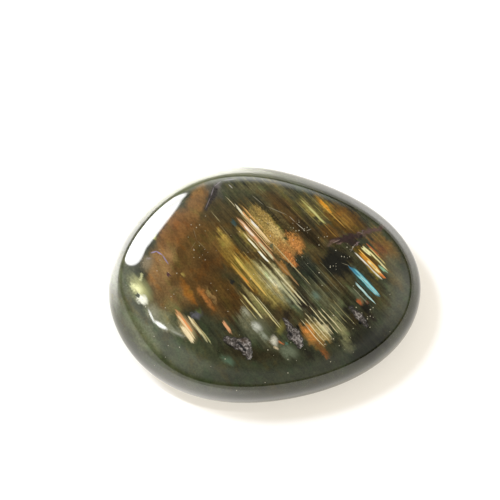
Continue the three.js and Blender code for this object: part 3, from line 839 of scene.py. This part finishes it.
class StonePainter:
    """Paints marks one over another, and keeps the colour so far."""

    def __init__(self, g, middle):
        self.g = g
        self.spot_group = build_spot_group()
        self.streak_group = build_streak_group()
        self.place = camera_place(g, middle)
        apart = g.add("ShaderNodeSeparateXYZ", {}, {"Vector": self.place}, None)
        self.u, self.v, self.toward = apart.outputs
        self.flat = g.vector(self.u, self.v)
        self.across, self.along = lamella_nodes(g, self.u, self.v)
        self.lamella = g.vector(self.across, self.along)
        self.colour = g.mix(1.0, BLACK, albedo(BASE_COLOUR))
        self.middle_lines = self.lines(*MIDDLE_LINES)
        self.fine_lines = self.lines(*FINE_LINES)
        self.clouds = g.noise(self.flat, *CLOUDS)
        self.grit = g.noise(self.flat, *GRIT)
        self.ripple = g.swing(g.noise(self.flat, *RIPPLES), RIPPLE_WIDTH)

    def lines(self, across_scale, along_scale, start, detail=2.0, roughness=0.5):
        """Noise drawn out along the lamellae."""
        place = self.g.scaled(self.lamella, (across_scale, along_scale, 1), move=(*start, 0))
        return self.g.noise(place, 1.0, detail, roughness)

    def spot(self, place, name, centre, half_sizes, turn, seen, strength, full_share):
        self.colour = self.g.spot(self.spot_group, name, self.colour, place, centre, half_sizes, turn,
                                  albedo(seen), strength, 1 - full_share)

    def sheet(self, place, name, end, length, half_width, seen, strength, full_share):
        across, along = lamella_place(*end)
        middle = (across, along + length / 2)
        self.spot(place, name, middle, (half_width, length / 2), 0, seen, strength, full_share)

    def streak(self, place, broken, name, middle, half_length, half_width, seen, strength):
        inputs = {"Under": self.colour, "Across": place[0], "Along": place[1], "Middle Across": middle[0],
                  "Middle Along": middle[1], "Half Length": half_length, "Half Width": half_width,
                  "Colour": albedo(seen), "Strength": strength, "Broken": broken}
        settings = {"node_tree": self.streak_group, "label": name}
        self.colour = self.g.add("ShaderNodeGroup", settings, inputs)

    def cover(self, mask, colour):
        self.colour = self.g.mix(mask, self.colour, colour)

    def tint(self, mask, colour):
        self.colour = self.g.mix(mask, self.colour, colour, "MULTIPLY")

    def shade(self, value, mask=1.0):
        self.tint(mask, self.g.grey(value))

    def paint_patches(self):
        """Broad patches, with wandering edges that are drawn out along the lamellae."""
        g = self.g
        inside = g.math("MULTIPLY", g.span(self.u, *LINED_LEFT, 1.0), g.span(self.v, *LINED_FOOT, 1.0))
        self.lined = g.math("MULTIPLY", inside, g.span(self.u, *LINED_RIGHT, 1.0))
        drawn = g.math("MULTIPLY", g.swing(self.middle_lines, PATCH_DRAWN), self.lined)
        wander = g.swing(self.clouds, PATCH_WANDER)
        run_u, run_v = LAMELLA_RUN
        u = g.math("ADD", g.math("MULTIPLY_ADD", drawn, run_u, self.u), wander)
        v = g.math("MULTIPLY_ADD", drawn, run_v, self.v)
        v = g.math("ADD", v, g.math("MULTIPLY", self.ripple, PATCH_RIPPLE))
        place = g.vector(u, v)
        for patch in PATCHES:
            self.spot(place, *patch)

    def paint_sheets(self):
        """Sheets, with ragged ends."""
        g = self.g
        drawn = g.math("MULTIPLY", self.middle_lines, SHEET_DRAWN)
        ragged = g.math("ADD", drawn, g.math("MULTIPLY", self.fine_lines, SHEET_DRAWN_FINE))
        ragged = g.math("SUBTRACT", ragged, (SHEET_DRAWN + SHEET_DRAWN_FINE) / 2)
        along = g.math("ADD", g.math("ADD", self.along, ragged), self.ripple)
        across = g.math("MULTIPLY_ADD", self.ripple, SHEET_RIPPLE, self.across)
        self.sheet_place = g.vector(across, along)
        for sheet in SHEETS:
            self.sheet(self.sheet_place, *sheet)

    def paint_lines(self):
        """Light and dark lines, strongest in the lined middle of the stone, and mottled tints."""
        g = self.g
        self.shade(g.span(self.middle_lines, 0.32, 0.66, 0.68, 1.36), self.lined)
        self.shade(g.span(self.fine_lines, 0.34, 0.66, 0.78, 1.24), self.lined)
        self.shade(g.span(self.lines(*MOTTLE), 0.34, 0.66, 0.8, 1.22))
        tint = self.lines(*TINT)
        self.tint(g.span(tint, 0.52, 0.66), GREEN_TINT)
        self.tint(g.span(tint, 0.46, 0.34), BROWN_TINT)

    def paint_grainy_sheets(self):
        """Sheets with grain in them."""
        g = self.g
        grains = self.lines(*GRAINS)
        for sheet in GRAINY_SHEETS:
            self.sheet(self.sheet_place, *sheet)
        across, along = lamella_place(*GRAINY_MIDDLE)
        away = g.math("DIVIDE", g.math("SUBTRACT", self.across, across), GRAINY_HALF_SIZES[0])
        ahead = g.math("DIVIDE", g.math("SUBTRACT", self.along, along), GRAINY_HALF_SIZES[1])
        grainy = g.span(g.math("MULTIPLY_ADD", away, away, g.math("MULTIPLY", ahead, ahead)), 1.0, 0.6)
        self.shade(g.span(grains, 0.4, 0.66, 0.76, 1.7), grainy)

    def paint_spots(self):
        """Crisp spots with slightly drawn out edges, and grit over them."""
        g = self.g
        u = g.math("ADD", g.math("SUBTRACT", self.grit, 0.5), self.u)
        v = g.math("MULTIPLY_ADD", g.math("SUBTRACT", self.middle_lines, 0.5), SPOT_DRAWN, self.v)
        self.crisp_place = g.vector(u, v)
        for spot in SPOTS:
            self.spot(self.crisp_place, *spot)
        self.shade(g.span(self.grit, 0.3, 0.7, 0.82, 1.2))

    def paint_streaks(self):
        """Streaks, a little wavy and broken."""
        g = self.g
        across = g.math("ADD", self.across, g.swing(self.lines(*STREAK_WAVES), STREAK_WAVER))
        along = g.math("ADD", self.along, g.swing(self.lines(*STREAK_ENDS), STREAK_RAGGED))
        place = g.next_batch(across, along)
        broken = g.span(self.lines(*STREAK_BREAKS), 0.34, 0.5, 0.35, 1.0)
        for streak in all_streaks():
            self.streak(place, broken, *streak)

    def paint_hairlines(self):
        """Fine straight lines from one end to the other."""
        self.fine_place = self.g.vector(*self.g.next_batch(self.u, self.v))
        for (u1, v1), (u2, v2), half_width, seen, strength in HAIRLINES:
            centre = ((u1 + u2) / 2, (v1 + v2) / 2)
            turn = math.degrees(math.atan2(v2 - v1, u2 - u1))
            half_sizes = (math.hypot(u2 - u1, v2 - v1) / 2 * HAIRLINE_STRETCH, half_width)
            self.spot(self.fine_place, "hairline", centre, half_sizes, turn, seen, strength,
                      HAIRLINE_FULL_SHARE)

    def paint_specks(self):
        """Pale specks, few of them but where they crowd together."""
        g = self.g
        crowd = g.mix(0.0, BLACK, BLACK)
        for name, centre, half_sizes, turn in SPECKLED:
            crowd = g.spot(self.spot_group, name, crowd, self.crisp_place, centre, half_sizes, turn,
                           WHITE, 1.0, 0.7)
        cells = {"Vector": self.flat, "Scale": SPECK_CELLS}
        dust = g.add("ShaderNodeTexVoronoi", {"voronoi_dimensions": "2D"}, cells, None)
        chance = g.add("ShaderNodeSeparateColor", {}, {0: dust.outputs["Color"]}, None)
        radius = g.math("MULTIPLY_ADD", chance.outputs["Green"], SPECK_RADIUS_CHANGE, SPECK_RADIUS)
        dot = g.span(g.math("SUBTRACT", dust.outputs["Distance"], radius), 0.06, -0.04)
        needed = g.math("MULTIPLY_ADD", crowd, SPECK_CROWDING, SPECK_RARITY)
        inside = g.span(self.toward, *SPECKS_FROM)
        chosen = g.math("MULTIPLY", g.math("GREATER_THAN", chance.outputs["Red"], needed), inside)
        mask = g.math("MULTIPLY", g.math("MULTIPLY", dot, chosen), SPECK_STRENGTH)
        self.cover(mask, albedo(SPECK_COLOUR))

    def paint_edge_with_painted_light(self):
        """Towards the widest part the stone is an even grey green, darker to the right: the lighter left is
        partly painted reflection and the darker right partly painted shade.
        """
        g = self.g
        to_right = g.math("MULTIPLY_ADD", self.v, -0.5, self.u)
        left_colour_and_reflection, right_colour_and_shade = map(albedo, EDGE_COLOURS_WITH_PAINTED_LIGHT)
        edge_green_and_painted_light = g.mix(g.span(to_right, -10.0, 9.0), left_colour_and_reflection, right_colour_and_shade)
        self.cover(g.span(self.toward, *EDGE_BELOW, 0.0, 0.8), edge_green_and_painted_light)

    def paint_underside(self):
        """The underside and the lower flanks have a quieter look of their own."""
        g = self.g
        grey, brown, teal = map(albedo, BELOW_COLOURS)
        under = g.mix(g.span(self.lines(*BELOW_BROWN), 0.46, 0.62), grey, brown)
        under = g.mix(g.span(self.lines(*BELOW_TEAL), 0.56, 0.68), under, teal)
        under = g.mix(1.0, under, g.grey(g.span(self.fine_lines, 0.34, 0.66, 0.8, 1.3)), "MULTIPLY")
        self.cover(g.span(self.toward, *UNDERSIDE_BELOW), under)

    def paint_pits(self):
        """Pits: dark rims, pale crumbs, and black holes of painted shade. Gives the pits' depth."""
        g = self.g
        pit = g.add("ShaderNodeAttribute", {"attribute_name": "pit"}, {}, "Fac")
        dark_crumb, pale_crumb = map(albedo, CRUMB_COLOURS)
        crumbs = g.mix(g.span(g.noise(self.place, *CRUMBS), 0.42, 0.62), dark_crumb, pale_crumb)
        self.cover(g.math("MULTIPLY", g.span(pit, 0.0, 0.03), 0.9), albedo(PIT_RIM_COLOUR))
        clumps = g.noise(self.place, *CLUMPS)
        crumbs = g.mix(g.span(clumps, 0.5, 0.42, 0.0, 0.7), crumbs, albedo(CLUMP_COLOUR))
        self.cover(g.span(pit, 0.08, 0.2), crumbs)
        # Painted shade in the pits' deepest parts, and brown stone beside them
        for hole in PIT_SHADE_AND_BROWN:
            self.spot(self.fine_place, *hole)
        return pit


def new_material(name):
    """A material without nodes, and a graph to fill it with."""
    material = bpy.data.materials.new(name)
    material.use_nodes = True
    return material, Graph(material.node_tree)


def labradorite(middle):
    """Polished labradorite: dark feldspar with flashing sheets, and rough pale pits."""
    material, g = new_material("labradorite")
    stone = StonePainter(g, middle)
    stone.paint_patches()
    stone.paint_sheets()
    stone.paint_lines()
    stone.paint_grainy_sheets()
    stone.paint_spots()
    stone.paint_streaks()
    stone.paint_hairlines()
    stone.paint_specks()
    stone.paint_edge_with_painted_light()
    stone.paint_underside()
    pit = stone.paint_pits()
    polish = g.span(stone.grit, 0.3, 0.8, *POLISH_ROUGHNESS)
    roughness = g.math("MULTIPLY_ADD", g.span(pit, 0.0, 0.03), PIT_ROUGHNESS, polish)
    g.finish("ShaderNodeOutputMaterial", "ShaderNodeBsdfPrincipled",
             {"Base Color": stone.colour, "Roughness": roughness, "IOR": STONE_IOR})
    return material


# The board under the stone: radius in metres, sides, scale of its mottling, its two tints and its glow
BOARD_RADIUS = 0.6
BOARD_SIDES = 128
BOARD_MOTTLING = 300.0
BOARD_TINTS = ((0.56, 0.55, 0.54, 1), (0.58, 0.57, 0.56, 1))
BOARD_GLOW = (0.4, 0.375, 0.33, 1)


def floor_material():
    """Pale matte board that glows a little, like a light table."""
    material, g = new_material("pale_board")
    place = g.add("ShaderNodeTexCoord", {}, {}, "Object")
    tint = g.mix(g.noise(place, BOARD_MOTTLING, 3.0), *BOARD_TINTS)
    g.finish("ShaderNodeOutputMaterial", "ShaderNodeBsdfPrincipled",
             {"Base Color": tint, "Roughness": 0.9, "Specular IOR Level": 0.1,
              "Emission Color": BOARD_GLOW, "Emission Strength": 1.0})
    return material


def build_floor():
    """A round board under the stone."""
    bm = bmesh.new()
    bmesh.ops.create_circle(bm, cap_ends=True, segments=BOARD_SIDES, radius=BOARD_RADIUS)
    mesh = bpy.data.meshes.new("floor")
    bm.to_mesh(mesh)
    bm.free()
    floor = bpy.data.objects.new("floor", mesh)
    mesh.materials.append(floor_material())
    bpy.context.collection.objects.link(floor)


def build_camera(middle):
    """The photograph's camera, looking down at the stone from the front."""
    toward = Vector(direction(-90, CAMERA_ELEVATION))
    right = Vector((1, 0, 0))
    up = toward.cross(right)
    aim = Vector(middle) - right * MIDDLE_RIGHT_OF_AIM - up * MIDDLE_ABOVE_AIM
    data = bpy.data.cameras.new("camera")
    data.sensor_width = SENSOR_MM
    data.lens = SENSOR_MM * PIXELS_PER_MM * CAMERA_DISTANCE / FRAME_PIXELS
    data.clip_start = CLIP_START_METRES
    camera = bpy.data.objects.new("camera", data)
    camera.location = (aim + toward * CAMERA_DISTANCE) * MM
    camera.rotation_euler = (math.radians(90 - CAMERA_ELEVATION), 0, 0)
    bpy.context.collection.objects.link(camera)
    bpy.context.scene.camera = camera


# The colour of the surround in its soft light. Only the polish shows the rest of what follows.
SURROUND_COLOUR = (1.16, 1.1, 0.98, 1)

# How bright the walls are at each height, from the dark gap at their foot to the dark ceiling.
# Heights are shares of the distance.
WALL_LEVELS = ((-0.02, 0.0), (0.045, 0.0), (0.13, 1.0), (0.5, 1.0), (0.7, 0.3), (0.85, 0.08))

# Where the walls are different: azimuth, how directly one looks that way where the change begins and ends,
# and the factor at both. On the first side they stand higher, and on the others they are dimmer.
HIGHER_WALL = (232, 0.5, 0.95, 1.0, 0.45)
FRONT_WALL = (292, 0.2, 0.92, 1.1, 0.45)
BACK_WALL = (75, 0.45, 0.85, 1.0, 0.25)

# Bright things on the walls: azimuth, place beside that azimuth and above the horizon, half sizes, angle,
# brightness and edge share. Places and sizes are shares of the distance.
REFLECTIONS = (
    ("pale far wall", 90, (0.0, 0.09), (0.5, 0.25), 0, 4.4, 0.95),
    ("window", 135, (0.0, 0.2), (0.33, 0.4), 0, 20.0, 0.12),
    ("window's left", 135, (-0.17, 0.28), (0.21, 0.32), 0, 20.0, 0.15),
    ("window's corner", 135, (0.25, 0.2), (0.12, 0.16), 0, 16.0, 0.3),
    ("lamp strip", 197, (-0.05, 0.61), (0.12, 0.035), 105, 22.0, 0.6),
    ("strip's head", 197, (0.02, 0.525), (0.08, 0.03), 32, 16.0, 0.6),
    ("strip's end", 197, (-0.125, 0.795), (0.1, 0.022), 120, 3.5, 0.9),
)

# The heights between which the bright things fade in over the dark gap
REFLECTIONS_FROM = (0.04, 0.07)


def build_world():
    """A pale surround for the soft light. In reflections it is bright walls, dimmer in front and behind,
    over a dark gap, with a dark ceiling, a window and a lamp strip."""
    world = bpy.data.worlds.new("studio")
    bpy.context.scene.world = world
    world.use_nodes = True
    g = Graph(world.node_tree)
    look = g.add("ShaderNodeTexCoord", {}, {}, "Generated")
    height = g.add("ShaderNodeSeparateXYZ", {}, {"Vector": look}, "Z")

    def toward(azimuth):
        """How directly one looks towards an azimuth: 1 straight at it, 0 or less away from it."""
        inputs = {0: look, 1: tuple(direction(azimuth, 0))}
        return g.add("ShaderNodeVectorMath", {"operation": "DOT_PRODUCT"}, inputs, "Value")

    def change(azimuth, *levels):
        return g.span(toward(azimuth), *levels)

    wall_height = g.math("MULTIPLY", height, change(*HIGHER_WALL))
    ramp = g.add("ShaderNodeValToRGB", {}, {0: g.math("MULTIPLY_ADD", wall_height, 0.5, 0.5)}, None)
    elements = ramp.color_ramp.elements
    for i, (at, level) in enumerate(WALL_LEVELS):
        element = elements[i] if i < 2 else elements.new(1.0)
        element.position = at * 0.5 + 0.5
        element.color = (level, level, level, 1)
    dimmed = g.math("MULTIPLY", change(*FRONT_WALL), change(*BACK_WALL))
    walls = g.mix(1.0, ramp.outputs[0], g.grey(dimmed), "MULTIPLY")
    spot_group = build_spot_group()
    above_gap = g.span(height, *REFLECTIONS_FROM)
    for name, azimuth, centre, half_sizes, turn, brightness, edge_share in REFLECTIONS:
        facing = g.math("GREATER_THAN", toward(azimuth), 0.0)
        place = g.vector(toward(azimuth - 90), height)
        strength = g.math("MULTIPLY", facing, above_gap)
        colour = (brightness, brightness, brightness, 1)
        walls = g.spot(spot_group, name, walls, place, centre, half_sizes, turn, colour, strength, edge_share)
    path = g.add("ShaderNodeLightPath", {}, {}, None)
    seen = g.mix(path.outputs["Is Glossy Ray"], SURROUND_COLOUR, walls)
    seen = g.mix(path.outputs["Is Camera Ray"], seen, WHITE)
    g.finish("ShaderNodeOutputWorld", "ShaderNodeBackground", {"Color": seen, "Strength": 1.0})


# The soft lamp over the stone: azimuth, elevation, side in metres, watts and colour
KEY_AZIMUTH, KEY_ELEVATION = 156, 68
KEY_SIDE = 0.14
KEY_WATTS = 5.4
KEY_COLOUR = (0.9, 0.98, 1.15)

# Patches of light on the board beside the stone: name, place, radius, softness of the edge and watts.
# Places and radii are in metres, and so is the height of their lamps.
BOARD_LIGHTS = (
    ("window_light", (-0.06, 0.058), 0.062, 0.1, 420),
    ("back_light", (0.03, 0.05), 0.035, 0.6, 80),
    ("side_light", (0.053, 0.033), 0.033, 0.6, 75),
    ("front_light", (-0.027, -0.043), 0.031, 0.6, 85),
)
BOARD_LIGHT_HEIGHT = 1.0
BOARD_LIGHT_SIZE = 0.01


def new_lamp(name, kind, watts):
    """A lamp that neither the camera nor the polish sees."""
    data = bpy.data.lights.new(name, kind)
    data.energy = watts
    lamp = bpy.data.objects.new(name, data)
    lamp.visible_camera = False
    lamp.visible_glossy = False
    bpy.context.collection.objects.link(lamp)
    return lamp, data


def build_lights():
    """A soft lamp over the stone, a metre away, and round patches of light on the board."""
    lamp, data = new_lamp("key", "AREA", KEY_WATTS)
    data.size = KEY_SIDE
    data.color = KEY_COLOUR
    lamp.location = Vector(direction(KEY_AZIMUTH, KEY_ELEVATION))
    lamp.rotation_euler = lamp.location.to_track_quat("Z", "Y").to_euler()
    for name, place, radius, blend, watts in BOARD_LIGHTS:
        lamp, data = new_lamp(name, "SPOT", watts)
        data.spot_size = 2 * math.atan(radius / BOARD_LIGHT_HEIGHT)
        data.spot_blend = blend
        data.shadow_soft_size = BOARD_LIGHT_SIZE
        lamp.location = (*place, BOARD_LIGHT_HEIGHT)


pebble, middle = build_pebble()
pebble.data.materials.append(labradorite(middle))
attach(pebble, "root")
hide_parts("pebble")

build_floor()
build_world()
build_lights()
build_camera(middle)
bpy.context.scene.view_settings.view_transform = "Standard"
